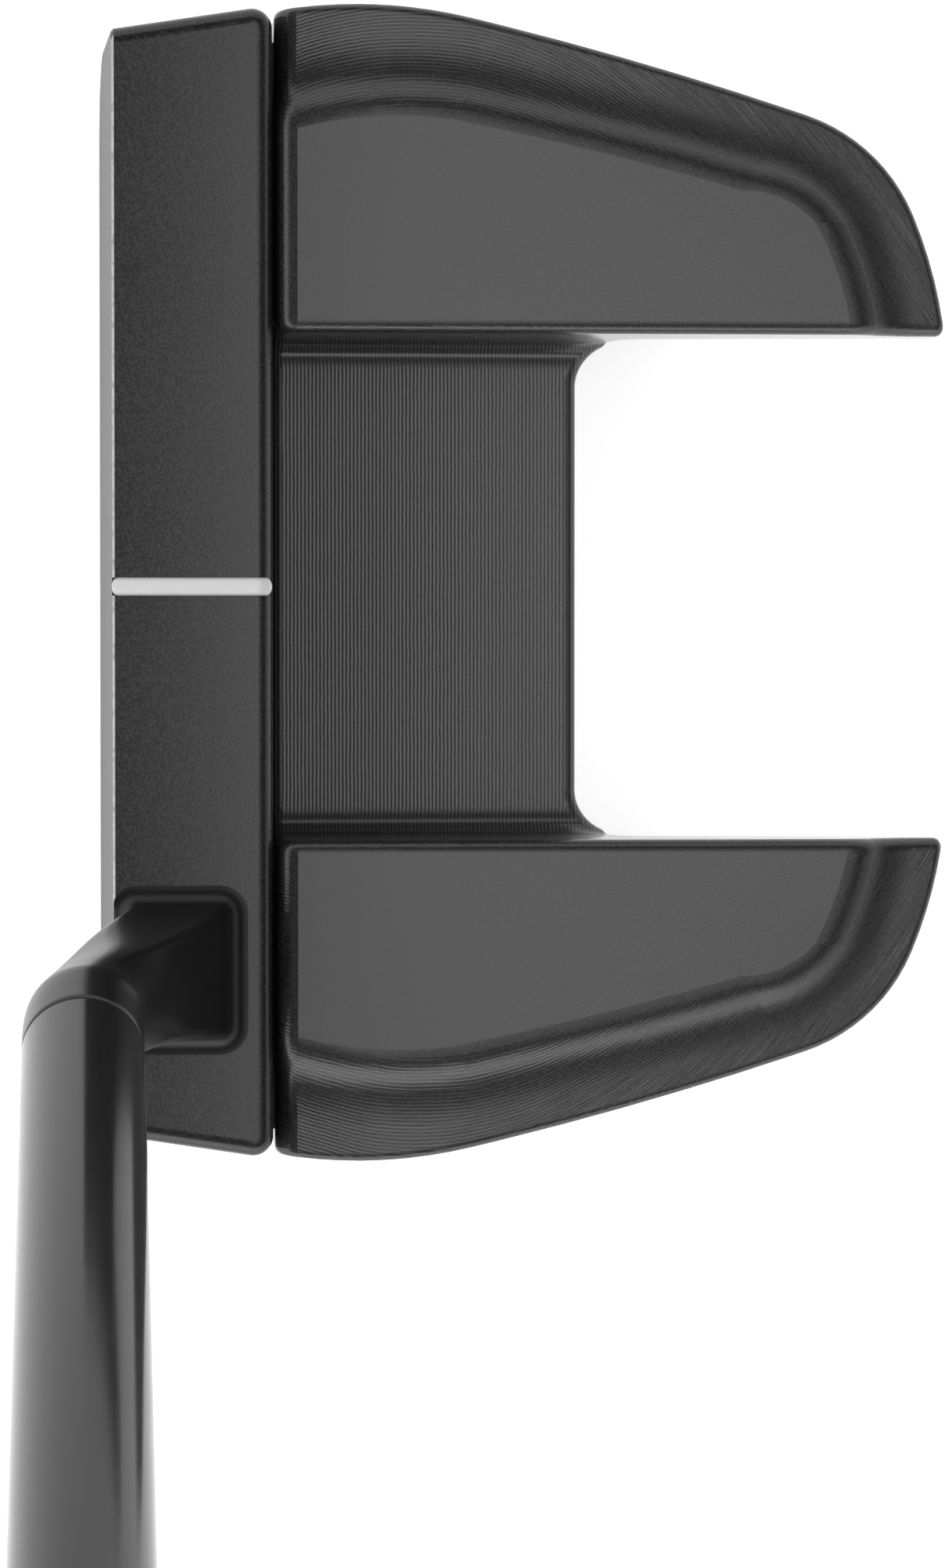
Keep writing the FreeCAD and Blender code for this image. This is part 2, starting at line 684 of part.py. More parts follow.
# ---------------------------------------------------------------- sole weights, inserts and rings
weight_low = dim("weight_sink")
for name, side in (("heel_weight", -1), ("toe_weight", 1)):
    weight = Part.makeCylinder(dim("weight_radius - weight_clear"), dim("weight_height"))
    weight = weight.makeChamfer(dim("weight_chamfer"), [e for e in weight.Edges if on_plane(e, "Z", 0)])
    weight = weight.cut(hexagon(dim("weight_socket"), dim("weight_socket_depth")))
    place = Placement(Vector(dim("weight_x"), side * dim("weight_at"), weight_low), Rotation())
    add_feature(name, weight, place)

weight_places = [(dim("weight_x"), side * dim("weight_at"), 0) for side in (-1, 1)]
sleeve_bore = dim("weight_radius - weight_clear + fit_clear")
sleeve_low, sleeve_high = dim("insert_sink"), dim("weight_height + weight_sink")
sleeve = upright(0, 0, sleeve_low, sleeve_high, dim("insert_radius"))
sleeve = sleeve.cut(upright(0, 0, sleeve_low - 1, sleeve_high + 1, sleeve_bore))
weight_inserts = add_feature("weight_inserts", copies(sleeve, weight_places))
ring = Part.makeTorus(dim("ring_radius"), dim("ring_wire"))
ring_z = dim("weight_height + weight_sink + ring_wire")
weight_rings = add_feature("weight_o_rings", copies(ring, [(x, y, ring_z) for x, y, _ in weight_places]))

# ---------------------------------------------------------------- neck
joint = Vector(dim("joint_x"), dim("joint_y"), dim("joint_z"))
along_shaft = Placement(joint, Rotation(Vector(1, 0, 0), dim("shaft_lean")))


def rounded_section(centre, depth, width, corner, turn=0.0):
    """A rectangle with rounded corners about a centre, tipped about X by turn degrees."""
    x, y = depth / 2, width / 2
    d = corner * (1 - math.sqrt(0.5))
    edges = []
    for sx, sy in ((1, 1), (-1, 1), (-1, -1), (1, -1)):
        along_y, along_x = Vector(sx * x, sy * (y - corner), 0), Vector(sx * (x - corner), sy * y, 0)
        middle = Vector(sx * (x - d), sy * (y - d), 0)
        ends = (along_y, along_x) if sx * sy > 0 else (along_x, along_y)
        edges.append((ends[0], middle, ends[1]))
    wire = []
    for i, (start, middle, end) in enumerate(edges):
        wire.append(Part.Arc(start, middle, end).toShape())
        wire.append(Part.LineSegment(end, edges[(i + 1) % 4][0]).toShape())
    section = Part.Wire(wire)
    section.Placement = Placement(centre, Rotation(Vector(1, 0, 0), turn))
    return section


def neck_shape():
    """The flared foot on the bar, the leaning limb, the round collar, the shaft post and the tenon."""
    lean, radius, flare = dim("shaft_lean"), dim("shaft_radius"), dim("neck_flare")
    depth, width, corner = dim("neck_depth"), dim("neck_width"), dim("neck_corner")
    round_off = dim("shaft_radius * collar_share")
    seat = Vector(dim("neck_x"), dim("neck_y"), dim("topline"))
    foot = seat + Vector(0, 0, flare)
    collar = along_shaft.multVec(Vector(0, 0, -dim("collar_straight")))
    run = collar - foot

    def at(rise, share):
        """A section part of the way up: the rise along the limb, and how far it has turned round."""
        centre = Vector(foot.x + run.x * share, foot.y + run.y * rise, foot.z + run.z * rise)
        sizes = [start + (2 * radius - start) * share for start in (depth, width)]
        round_corner = corner + (round_off - corner) * share
        return rounded_section(centre, *sizes, round_corner, lean * rise**2)
    limb = Part.makeLoft([at(0, 0), at(0.35, 0.22), at(0.7, 0.62), at(1, 1)], True, False)

    def flared(rise, spread):
        centre = seat + Vector(0, 0, flare * rise)
        wider = spread * flare
        return rounded_section(centre, depth + wider, width + wider, corner + wider / 2)
    root = Part.makeLoft([flared(0, 1.6), flared(0.3, 0.6), flared(0.6, 0.2), flared(1, 0)], True, True)
    joint_section = rounded_section(joint, 2 * radius, 2 * radius, round_off, lean)
    round_part = Part.makeLoft([at(1, 1), joint_section], True, True)
    post_top = dim("post_length")
    post = upright(0, 0, -1, post_top, dim("post_radius"))
    post = post.makeChamfer(dim("post_chamfer"), [e for e in post.Edges if on_plane(e, "Z", post_top)])
    post.Placement = along_shaft
    tenon = upright(seat.x, seat.y, dim("topline - tenon_length"), foot.z, dim("tenon_radius"))
    body = limb.fuse([root, round_part]).fuse([post, tenon])
    tapped = upright(seat.x, seat.y, 0, dim("neck_screw_tip + bore_relief"),
                          dim("neck_screw_radius + fit_clear"))
    return body.cut(tapped)


neck = add_feature("neck", neck_shape())

sink, seat_height = dim("neck_screw_sink"), dim("neck_screw_head_height + neck_screw_sink")
cap_screw = upright(0, 0, sink, seat_height, dim("neck_screw_head"))
shank = upright(0, 0, seat_height, dim("neck_screw_tip"), dim("neck_screw_radius"))
socket = hexagon(dim("neck_screw_drive"), sink + dim("neck_screw_drive_depth"))
cap_screw = cap_screw.fuse(shank).removeSplitter().cut(socket)
neck_foot = Placement(Vector(dim("neck_x"), dim("neck_y"), 0), Rotation())
neck_screw = add_feature("neck_screw", cap_screw, neck_foot)


# ---------------------------------------------------------------- shaft and its adhesive
def turned(label, profile):
    """A body turned about the shaft's axis from a half section of (radius, height) corners."""
    body = new_body(label)
    half = new_sketch(body, label + "_half_section", "XZ_Plane")
    add_polygon(half, profile)
    turn = body.newObject("PartDesign::Revolution", label + "_turn")
    turn.Profile = half
    turn.ReferenceAxis = (half, ["V_Axis"])
    turn.Angle = 360
    body.Placement = along_shaft
    return body


ground_to_joint = "joint_z / cos(shaft_lean * 1deg)"
butt = f"(club_length - {ground_to_joint})"
tube_end = f"({butt} - cap_thick - 2)"
shaft = turned("shaft", [
    ("shaft_radius - shaft_wall", "0"),
    ("shaft_radius", "0"),
    ("shaft_radius", "straight_length"),
    ("butt_radius", "taper_end"),
    ("butt_radius", tube_end),
    ("butt_radius - shaft_wall", tube_end),
    ("butt_radius - shaft_wall", "taper_end"),
    ("shaft_radius - shaft_wall", "straight_length"),
])
shaft_epoxy = turned("shaft_epoxy", [
    ("post_radius + fit_clear", "0.1"),
    ("shaft_radius - shaft_wall - fit_clear", "0.1"),
    ("shaft_radius - shaft_wall - fit_clear", "post_length - 1"),
    ("post_radius + fit_clear", "post_length - 1"),
])

# ---------------------------------------------------------------- grip
GRIP_POINTS = 32
GRIP_SECTIONS = 9
grip_foot = f"({butt} - grip_length)"
grip_tape = turned("grip_tape", [
    ("butt_radius", f"{grip_foot} + 1"),
    ("butt_radius + tape_thick", f"{grip_foot} + 1"),
    ("butt_radius + tape_thick", f"{tube_end} - 1"),
    ("butt_radius", f"{tube_end} - 1"),
])


def grip_section(height, width, depth, flat, shrink=0.0):
    """A closed curve across the shaft: a flat front for the thumbs and a rounded back for the palm."""
    mouth = dim("grip_mouth")
    points = []
    for i in range(GRIP_POINTS):
        angle = 2 * math.pi * i / GRIP_POINTS
        across, over = math.cos(angle), math.sin(angle)
        power = 2 / (2 + flat * max(over, 0.0))
        x = math.copysign(abs(across) ** power, across) * (width / 2 - shrink)
        y = math.copysign(abs(over) ** power, over) * (depth / 2 - shrink)
        points.append(Vector(x, y - dim("grip_drop") * (depth - mouth) / mouth, height))
    curve = Part.BSplineCurve()
    curve.interpolate(points, PeriodicFlag=True)
    return Part.Wire([curve.toShape()])


# share of the grip's length, width across the thumbs, depth front to back, flatness
GRIP_STATIONS = ((0.0, 19.6, 19.6, 0.0), (0.2, 23.0, 21.6, 1.6), (0.5, 27.0, 24.5, 2.4),
                 (0.8, 30.0, 29.0, 2.4), (0.93, 30.5, 31.0, 2.2), (1.0, 29.5, 31.0, 2.0))
grip_low = dim(grip_foot)
grip_high = dim(butt)


def grip_loft(low, high, shrink):
    """The grip's form between two heights, shrunk all round."""
    sections = []
    for i in range(GRIP_SECTIONS):
        height = low + (high - low) * i / (GRIP_SECTIONS - 1)
        share = (height - grip_low) / (grip_high - grip_low)
        after = next(k for k in range(1, len(GRIP_STATIONS)) if share <= GRIP_STATIONS[k][0] + 1e-9)
        a, b = GRIP_STATIONS[after - 1], GRIP_STATIONS[after]
        t = (share - a[0]) / (b[0] - a[0])
        values = [a[k] + (b[k] - a[k]) * t for k in (1, 2, 3)]
        sections.append(grip_section(height, *values, shrink))
    return Part.makeLoft(sections, True, False)


bore_radius = dim("butt_radius + tape_thick")
core_low = grip_low + dim("collar_length")
core_high = grip_high - dim("cap_thick")
bore = upright(0, 0, 0, grip_high + 1, bore_radius + dim("fit_clear"))
wrap = dim("wrap_thick")
core = grip_loft(core_low, core_high, wrap)
skin = grip_loft(core_low, core_high, 0.0).cut(core)
grip_underlisting = add_feature("grip_underlisting", core.cut(bore), along_shaft)
grip_wrap = add_feature("grip_wrap", skin, along_shaft)
grip_collar = add_feature("grip_collar", grip_loft(grip_low, core_low, 0.0).cut(bore), along_shaft)
plug_low = core_high - dim("plug_length")
plug = upright(0, 0, plug_low, core_high, dim("butt_radius - shaft_wall - plug_clear"))
vent = upright(0, 0, plug_low - 1, grip_high + 1, dim("vent_radius"))
cap = grip_loft(core_high, grip_high, 0.0)
cap = fillet(cap, dim("cap_round"), lambda e: on_plane(e, "Z", grip_high, 0.3))
grip_cap = add_feature("grip_cap", cap.fuse(plug).cut(vent), along_shaft)

# ---------------------------------------------------------------- write the sub-parts
doc.recompute()
os.makedirs("parts", exist_ok=True)
nodes = [item for item in doc.Objects if item.TypeId in ("PartDesign::Body", "Part::Feature")]
for item in doc.Objects:
    if any(word in item.State for word in ("Invalid", "Error")):
        raise RuntimeError(f"{item.Name}: {item.State}")
for node in nodes:
    if node.Shape.isNull() or not node.Shape.isValid():
        raise RuntimeError(f"{node.Label} has no valid shape")
for node in nodes:
    node.Shape.exportStep(f"parts/{node.Label}.step")
    print(node.Label, round(node.Shape.Volume, 1), len(node.Shape.Solids))
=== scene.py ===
import json
import math

import bmesh
import bpy
from mathutils import Matrix, Vector


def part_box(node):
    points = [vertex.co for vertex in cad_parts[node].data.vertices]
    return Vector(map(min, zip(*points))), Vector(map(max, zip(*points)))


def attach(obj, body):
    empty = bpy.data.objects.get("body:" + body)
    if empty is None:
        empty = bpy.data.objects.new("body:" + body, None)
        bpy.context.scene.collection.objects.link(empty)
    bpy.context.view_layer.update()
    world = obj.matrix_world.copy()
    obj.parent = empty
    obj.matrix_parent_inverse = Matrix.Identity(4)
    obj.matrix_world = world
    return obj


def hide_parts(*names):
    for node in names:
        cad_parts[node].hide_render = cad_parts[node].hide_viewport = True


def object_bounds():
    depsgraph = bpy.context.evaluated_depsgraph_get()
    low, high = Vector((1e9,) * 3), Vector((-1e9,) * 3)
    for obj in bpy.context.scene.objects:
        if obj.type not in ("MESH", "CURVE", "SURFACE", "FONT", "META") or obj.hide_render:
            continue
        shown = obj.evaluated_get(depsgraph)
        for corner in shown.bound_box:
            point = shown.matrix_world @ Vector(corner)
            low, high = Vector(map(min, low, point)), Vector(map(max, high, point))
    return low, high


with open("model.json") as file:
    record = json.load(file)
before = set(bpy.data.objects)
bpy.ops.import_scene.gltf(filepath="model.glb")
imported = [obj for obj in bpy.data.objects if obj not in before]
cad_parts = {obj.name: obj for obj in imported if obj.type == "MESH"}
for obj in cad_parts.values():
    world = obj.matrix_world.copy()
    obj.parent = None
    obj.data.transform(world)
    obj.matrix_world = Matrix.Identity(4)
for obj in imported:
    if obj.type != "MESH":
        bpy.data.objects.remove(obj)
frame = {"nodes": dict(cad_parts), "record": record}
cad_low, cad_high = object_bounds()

# The looks of a black mallet putter, in metres, in the frame of its CAD: +X from the face to the back,
# +Y towards the toe, +Z up, with the shaft leaning towards -Y. The head's machined parts stay as CAD
# nodes and get their finishes here; the neck, shaft, grip skin and sight line are modelled anew.
MM = 0.001
BODY = "root"

bar_low, bar_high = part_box("face_bar")
_, flange_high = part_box("wing_flange")
shaft_low, shaft_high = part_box("shaft")
line_low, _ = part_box("sight_line")
screw_low, screw_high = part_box("neck_screw")

# The shaft's axis, from the lean and the tip's radius
LEAN = math.radians(20.0)
TIP_RADIUS = 4.7 * MM
BUTT_RADIUS = 7.45 * MM
UP_SHAFT = Vector((0, -math.sin(LEAN), math.cos(LEAN)))
JOINT = Vector((
    (shaft_low.x + shaft_high.x) / 2,
    shaft_high.y - TIP_RADIUS * math.cos(LEAN),
    shaft_low.z + TIP_RADIUS * math.sin(LEAN),
))
ALONG_SHAFT = Matrix.Translation(JOINT) @ Matrix.Rotation(LEAN, 4, "X")
TUBE_LENGTH = (shaft_high.z - JOINT.z - BUTT_RADIUS * math.sin(LEAN)) / math.cos(LEAN)


# ---------------------------------------------------------------- mesh helpers
def new_piece(name, points, faces, material, sharp_over):
    """A piece of the object, smooth except where it turns by more than some degrees."""
    mesh = bpy.data.meshes.new(name)
    mesh.from_pydata(points, [], faces)
    work = bmesh.new()
    work.from_mesh(mesh)
    bmesh.ops.recalc_face_normals(work, faces=work.faces)
    work.to_mesh(mesh)
    work.free()
    mesh.shade_smooth()
    mesh.set_sharp_from_angle(angle=math.radians(sharp_over))
    mesh.materials.append(material)
    piece = bpy.data.objects.new(name, mesh)
    bpy.context.scene.collection.objects.link(piece)
    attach(piece, BODY)
    return piece


def skin_rings(rings, looped=False):
    """Points and faces of a tube through rings of equal counts, capped unless it meets its own start."""
    count = len(rings[0])
    points = [point for ring in rings for point in ring]
    spans = len(rings) if looped else len(rings) - 1
    faces = []
    for r in range(spans):
        low, high = r * count, ((r + 1) % len(rings)) * count
        for i in range(count):
            j = (i + 1) % count
            faces.append((low + i, low + j, high + j, high + i))
    if not looped:
        faces.append(tuple(range(count - 1, -1, -1)))
        faces.append(tuple(range(len(points) - count, len(points))))
    return points, faces


def circle(radius, height, count):
    """A ring about the shaft, at a height along it from its joint with the neck."""
    turns = [2 * math.pi * i / count for i in range(count)]
    return [ALONG_SHAFT @ Vector((radius * math.cos(a), radius * math.sin(a), height)) for a in turns]


def smooth_step(x):
    """A smooth rise from 0 to 1 while x does the same."""
    x = min(max(x, 0.0), 1.0)
    return x * x * (3 - 2 * x)


# ---------------------------------------------------------------- material helpers
class Nodes:
    """Adds nodes to a tree; a node's input is either a plain value or another node's output."""

    def __init__(self, tree):
        self.tree = tree

    def feed(self, socket, value):
        """Sets an input, or links another node's output to it."""
        if isinstance(value, bpy.types.NodeSocket):
            self.tree.links.new(value, socket)
        else:
            socket.default_value = value

    def add(self, kind, inputs=None, **settings):
        """A new shader node with its inputs fed and its settings set."""
        node = self.tree.nodes.new("ShaderNode" + kind)
        for setting, value in settings.items():
            setattr(node, setting, value)
        for socket, value in (inputs or {}).items():
            self.feed(node.inputs[socket], value)
        return node

    def math(self, operation, a, b=0.0, c=0.0):
        """The output of a maths node."""
        return self.add("Math", {0: a, 1: b, 2: c}, operation=operation).outputs[0]

    def product(self, first, *others):
        """All the values multiplied together."""
        for other in others:
            first = self.math("MULTIPLY", first, other)
        return first

    def ramp(self, value, low, high, start=0.0, end=1.0):
        """A smooth rise from start to end while the value goes from low to high."""
        limits = {"Value": value, "From Min": low, "From Max": high, "To Min": start, "To Max": end}
        return self.add("MapRange", limits, interpolation_type="SMOOTHSTEP").outputs["Result"]

    def axes(self, vector):
        """The X, Y and Z sockets of a vector."""
        return self.add("SeparateXYZ", {"Vector": vector}).outputs


class Look(Nodes):
    """A node material: one Principled shader and the nodes that drive it, in object coordinates."""

    def __init__(self, name, **sockets):
        self.material = bpy.data.materials.new(name)
        self.material.use_nodes = True
        super().__init__(self.material.node_tree)
        self.shader = self.tree.nodes["Principled BSDF"]
        self.place = self.add("TexCoord").outputs["Object"]
        self.x, self.y, self.z = self.axes(self.place)
        for socket, value in sockets.items():
            self.shader.inputs[socket.replace("_", " ").title().replace("Ior", "IOR")].default_value = value

    def noise(self, size, detail=2.0, stretch=(1, 1, 1)):
        """Cloudy noise whose features are about size metres, stretched along an axis by its factor."""
        squeeze = [1 / (size * s) for s in stretch]
        scaled = self.add("Mapping", {"Vector": self.place, "Scale": squeeze}).outputs[0]
        return self.noise_at(scaled, detail)

    def noise_at(self, vector, detail):
        """Cloudy noise whose features are about 1 wide in the vector's own units."""
        return self.add("TexNoise", {"Vector": vector, "Scale": 1.0, "Detail": detail}).outputs["Fac"]

    def lines(self, value, pitch):
        """A wave from 0 to 1 with a crest every pitch metres of a value."""
        wave = self.math("SINE", self.math("MULTIPLY", value, 2 * math.pi / pitch))
        return self.math("MULTIPLY_ADD", wave, 0.5, 0.5)

    def between(self, value, low, high, edge):
        """1 while a value is between two limits, with soft edges."""
        rise = self.ramp(value, low - edge, low + edge)
        return self.math("MULTIPLY", rise, self.ramp(value, high - edge, high + edge, 1.0, 0.0))

    def distance(self, a, b):
        """The length of a vector in a plane, from its two parts."""
        squares = self.math("ADD", self.math("POWER", a, 2.0), self.math("POWER", b, 2.0))
        return self.math("SQRT", squares)

    def colour(self, factor, first, second):
        """Colour from first to second while a factor goes from 0 to 1; None stands for the colour so far."""
        base = self.shader.inputs["Base Color"]
        if first is None:
            first = base.links[0].from_socket
        mix = self.add("Mix", data_type="RGBA")
        for socket, value in (("Factor", factor), ("A", first), ("B", second)):
            self.feed(next(s for s in mix.inputs if s.name == socket and s.enabled), value)
        self.tree.links.new(next(s for s in mix.outputs if s.enabled), base)

    def roughness(self, factor, low, high, clamp=True):
        """Roughness from low to high while a factor goes from 0 to 1, and on beyond unless clamped."""
        limits = {"Value": factor, "To Min": low, "To Max": high}
        value = self.add("MapRange", limits, clamp=clamp).outputs["Result"]
        self.tree.links.new(value, self.shader.inputs["Roughness"])

    def specular(self, level):
        """The strength of the sharp reflection, from a socket."""
        self.tree.links.new(level, self.shader.inputs["Specular IOR Level"])

    def bump(self, height, distance):
        """Adds a relief of some depth in metres over those already there."""
        socket = self.shader.inputs["Normal"]
        inputs = {"Height": height, "Distance": distance, "Strength": 1.0}
        if socket.is_linked:
            inputs["Normal"] = socket.links[0].from_socket
        self.tree.links.new(self.add("Bump", inputs).outputs["Normal"], socket)

    def in_shaft_frame(self):
        """Sockets for the place across the shaft, and along it from its joint with the neck."""
        inputs = {"Vector": self.place, "Location": JOINT, "Rotation": (LEAN, 0, 0)}
        return self.axes(self.add("Mapping", inputs, vector_type="TEXTURE").outputs[0])


def grey(level, tint=0.0):
    """A linear grey, a little bluer for a positive tint."""
    return (level * (1 - tint), level, level * (1 + tint), 1.0)


def bead_blast(look, dark, light):
    """The fine even grain of a bead-blasted and blackened surface, and the factor of its mottle."""
    fine = look.noise(0.22 * MM, 2.0)
    specks = look.ramp(fine, 0.4, 0.62)
    broad = look.noise(9 * MM, 2.0)
    mottle = look.math("MULTIPLY_ADD", broad, 0.25, look.math("MULTIPLY", specks, 0.75))
    look.colour(mottle, grey(dark), grey(light))
    look.bump(fine, 0.0016 * MM)
    return mottle


# ---------------------------------------------------------------- materials of the head
FACE_ARC_PITCH, FACE_ARC_DEPTH = 0.55 * MM, 0.12 * MM
# the fly cutter's centre, this far under the sole
FACE_ARC_DROP = 95 * MM


def bar_finish():
    """Satin black on steel, with the arcs of a fly cutter across the striking face."""
    look = Look("bar_black", specular_ior_level=0.26, coat_weight=0.3, coat_roughness=0.5)
    mottle = bead_blast(look, 0.0, 0.015)
    facing = look.axes(look.add("NewGeometry").outputs["Normal"])[0]
    on_face = look.ramp(facing, -0.97, -0.99)
    # painted highlight: a patchy pale band on the rounded edge between the face and the topline, standing for
    # the broken glint along the milled edge
    on_top = look.ramp(look.z, bar_high.z - 0.26 * MM, bar_high.z - 0.2 * MM)
    edge_highlight = look.product(look.between(facing, -0.9, -0.5, 0.03), on_top)
    patchy_edge_highlight = look.product(edge_highlight, look.ramp(look.noise(0.8 * MM, 2.0), 0.2, 0.6, 0.45, 1.0))
    look.colour(patchy_edge_highlight, None, grey(0.32))
    # the milled face is much rougher than the rest
    look.roughness(look.math("MULTIPLY_ADD", on_face, 7.0, mottle), 0.09, 0.13, False)
    above = look.math("SUBTRACT", look.z, bar_low.z - FACE_ARC_DROP)
    radius = look.distance(look.y, above)
    look.bump(look.product(look.lines(radius, FACE_ARC_PITCH), on_face), FACE_ARC_DEPTH)
    return look.material


# half the width of the channel between the wings
CHANNEL_HALF = 21.9 * MM
POCKET_PITCH, POCKET_DEPTH = 0.33 * MM, 0.0035 * MM
STROKE_PITCH, STROKE_DEPTH = 0.31 * MM, 0.016 * MM
# the strokes run along parabolas: the place of their middle, and their bend in 1/metre
STROKE_MIDDLE, STROKE_BEND = 6 * MM, 19.0


def pocket_lines(look, in_channel):
    """Straight cutter lines across the lowered floor of the channel."""
    below_wings = look.ramp(look.z, flange_high.z - 1.6 * MM, flange_high.z - 2.4 * MM)
    waver = look.math("MULTIPLY", look.noise(1.6 * MM, 2.0), 0.1 * MM)
    along = look.math("ADD", look.x, waver)
    passes = look.product(look.lines(along, POCKET_PITCH), look.product(in_channel, below_wings))
    look.colour(look.math("POWER", passes, 2.0), None, grey(0.05))
    look.bump(passes, POCKET_DEPTH)


def step_strokes(look, in_channel, gloss):
    """Curved strokes on the wings' steps, in the relief and in the gloss."""
    rim_low, rim_high = flange_high.z - 2.3 * MM, flange_high.z - 0.1 * MM
    outside = look.math("SUBTRACT", 1.0, in_channel)
    on_step = look.product(look.between(look.z, rim_low, rim_high, 0.06 * MM), outside)
    side = look.math("ABSOLUTE", look.y)
    past_middle = look.math("SUBTRACT", look.x, STROKE_MIDDLE)
    over = look.math("MULTIPLY_ADD", look.product(past_middle, past_middle), STROKE_BEND, side)
    wander = look.math("MULTIPLY", look.noise(12 * MM, 1.0), 1.2 * MM)
    bent = look.math("ADD", over, wander)
    places = {"X": look.math("DIVIDE", bent, 0.3 * MM), "Y": look.math("DIVIDE", look.x, 4 * MM)}
    scratches = look.noise_at(look.add("CombineXYZ", places).outputs[0], 1.0)
    waves = look.lines(bent, STROKE_PITCH)
    strokes = look.math("MULTIPLY_ADD", waves, 0.5, scratches)
    look.bump(look.product(strokes, on_step), STROKE_DEPTH)
    glint = look.product(look.math("SUBTRACT", waves, 0.5), on_step)
    glint = look.product(glint, look.ramp(look.noise(0.9 * MM, 2.0), 0.35, 0.65, 0.1, 1.0))
    look.specular(look.math("MULTIPLY_ADD", glint, 0.3, gloss))


def flange_finish():
    """Black anodised aluminium: bead-blasted, with cutter lines in the pocket and on the wings' steps."""
    look = Look("flange_black", coat_weight=0.5, coat_roughness=0.5)
    mottle = bead_blast(look, 0.001, 0.017)
    look.roughness(mottle, 0.10, 0.15)
    in_channel = look.between(look.y, -CHANNEL_HALF, CHANNEL_HALF, 0.2 * MM)
    pocket_lines(look, in_channel)
    step_strokes(look, in_channel, 0.27)
    return look.material


def neck_finish():
    """Smooth satin black on steel, grainy at the foot where it runs into the bar and duller on the limb."""
    look = Look("neck_black", coat_weight=0.05, coat_roughness=0.45)
    foot = look.ramp(look.z, bar_high.z + 1.2 * MM, bar_high.z + 3.5 * MM, 1.0, 0.0)
    fine = look.noise(0.16 * MM, 3.0)
    look.colour(fine, grey(0.0015), grey(0.004))
    look.roughness(foot, 0.27, 0.34)
    collar = look.ramp(look.z, JOINT.z - 9 * MM, JOINT.z - 3 * MM, 0.09, 0.25)
    look.specular(look.math("MULTIPLY_ADD", foot, 0.14, collar))
    look.bump(look.product(fine, foot), 0.012 * MM)
    look.bump(look.noise(1.2 * MM, 1.0), 0.004 * MM)
    return look.material


def shaft_finish():
    """Gloss black lacquer over a steel tube, with a faint orange peel."""
    look = Look("shaft_black", specular_ior_level=0.2, coat_weight=0.2, coat_roughness=0.5)
    haze = look.noise(2.5 * MM, 2.0, (1, 1, 6))
    look.colour(haze, grey(0.0015), grey(0.003))
    look.roughness(haze, 0.11, 0.19)
    look.bump(look.noise(0.9 * MM, 1.0), 0.0015 * MM)
    return look.material


def line_finish():
    """White fill paint, slightly uneven and greyer where it is thin at the groove's sides."""
    look = Look("line_paint", specular_ior_level=0.5)
    side = look.ramp(look.math("ABSOLUTE", look.y), 0.45 * MM, 0.78 * MM)
    wear = look.math("MULTIPLY_ADD", look.noise(0.5 * MM, 3.0), 0.35, side)
    look.colour(look.ramp(wear, 0.1, 1.2), grey(0.62), grey(0.40))
    look.roughness(wear, 0.3, 0.5)
    look.bump(look.noise(0.35 * MM, 2.0), 0.02 * MM)
    return look.material


def rubber_finish(name, level, size):
    """Matt moulded rubber with a dusting of paler bloom."""
    look = Look(name, specular_ior_level=0.4)
    bloom = look.noise(size * 6, 3.0)
    look.colour(bloom, grey(level * 0.7), grey(level * 1.3))
    look.roughness(bloom, 0.55, 0.75)
    look.bump(look.noise(size, 3.0), size * 0.12)
    return look.material


def steel_finish(name, level, roughness, brushed=(1, 1, 1)):
    """Bare or oxide-black steel with fine brushing along one axis."""
    look = Look(name, metallic=1.0)
    strokes = look.noise(0.12 * MM, 3.0, brushed)
    look.colour(strokes, grey(level * 0.8), grey(level * 1.15, 0.01))
    look.roughness(strokes, roughness * 0.8, roughness * 1.25)
    look.bump(strokes, 0.006 * MM)
    return look.material


def weight_finish():
    """Turned stainless steel: rings about each weight's own centre."""
    look = Look("weight_steel", metallic=1.0)
    low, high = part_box("toe_weight")
    centre = (low + high) / 2
    across = look.math("SUBTRACT", look.math("ABSOLUTE", look.y), centre.y)
    along = look.math("SUBTRACT", look.x, centre.x)
    rings = look.lines(look.distance(across, along), 0.22 * MM)
    stain = look.noise(1.5 * MM, 3.0)
    look.colour(stain, grey(0.36), grey(0.46, 0.01))
    look.roughness(stain, 0.18, 0.3)
    look.bump(rings, 0.008 * MM)
    return look.material


def plate_finish():
    """Brushed black anodised aluminium."""
    look = Look("plate_aluminium", metallic=1.0)
    strokes = look.noise(0.1 * MM, 3.0, (1, 60, 1))
    look.colour(strokes, grey(0.08), grey(0.15, 0.02))
    look.roughness(strokes, 0.26, 0.42)
    look.bump(strokes, 0.008 * MM)
    return look.material


def epoxy_finish():
    """Cured amber epoxy with small trapped bubbles."""
    look = Look("epoxy", specular_ior_level=0.5)
    bubbles = look.noise(0.3 * MM, 2.0)
    look.colour(bubbles, (0.30, 0.24, 0.10, 1), (0.44, 0.38, 0.20, 1))
    look.roughness(bubbles, 0.12, 0.3)
    look.bump(bubbles, 0.02 * MM)
    return look.material


def tape_finish():
    """Creped paper tape."""
    look = Look("tape", specular_ior_level=0.3)
    crepe = look.noise(0.4 * MM, 4.0, (3, 3, 1))
    look.colour(crepe, (0.50, 0.47, 0.38, 1), (0.66, 0.63, 0.54, 1))
    look.roughness(crepe, 0.7, 0.9)
    look.bump(crepe, 0.04 * MM)
    return look.material


# ---------------------------------------------------------------- materials of the grip
STRIP_PITCH = 26 * MM
DIMPLE_ROWS, DIMPLES_ROUND = 9, 28


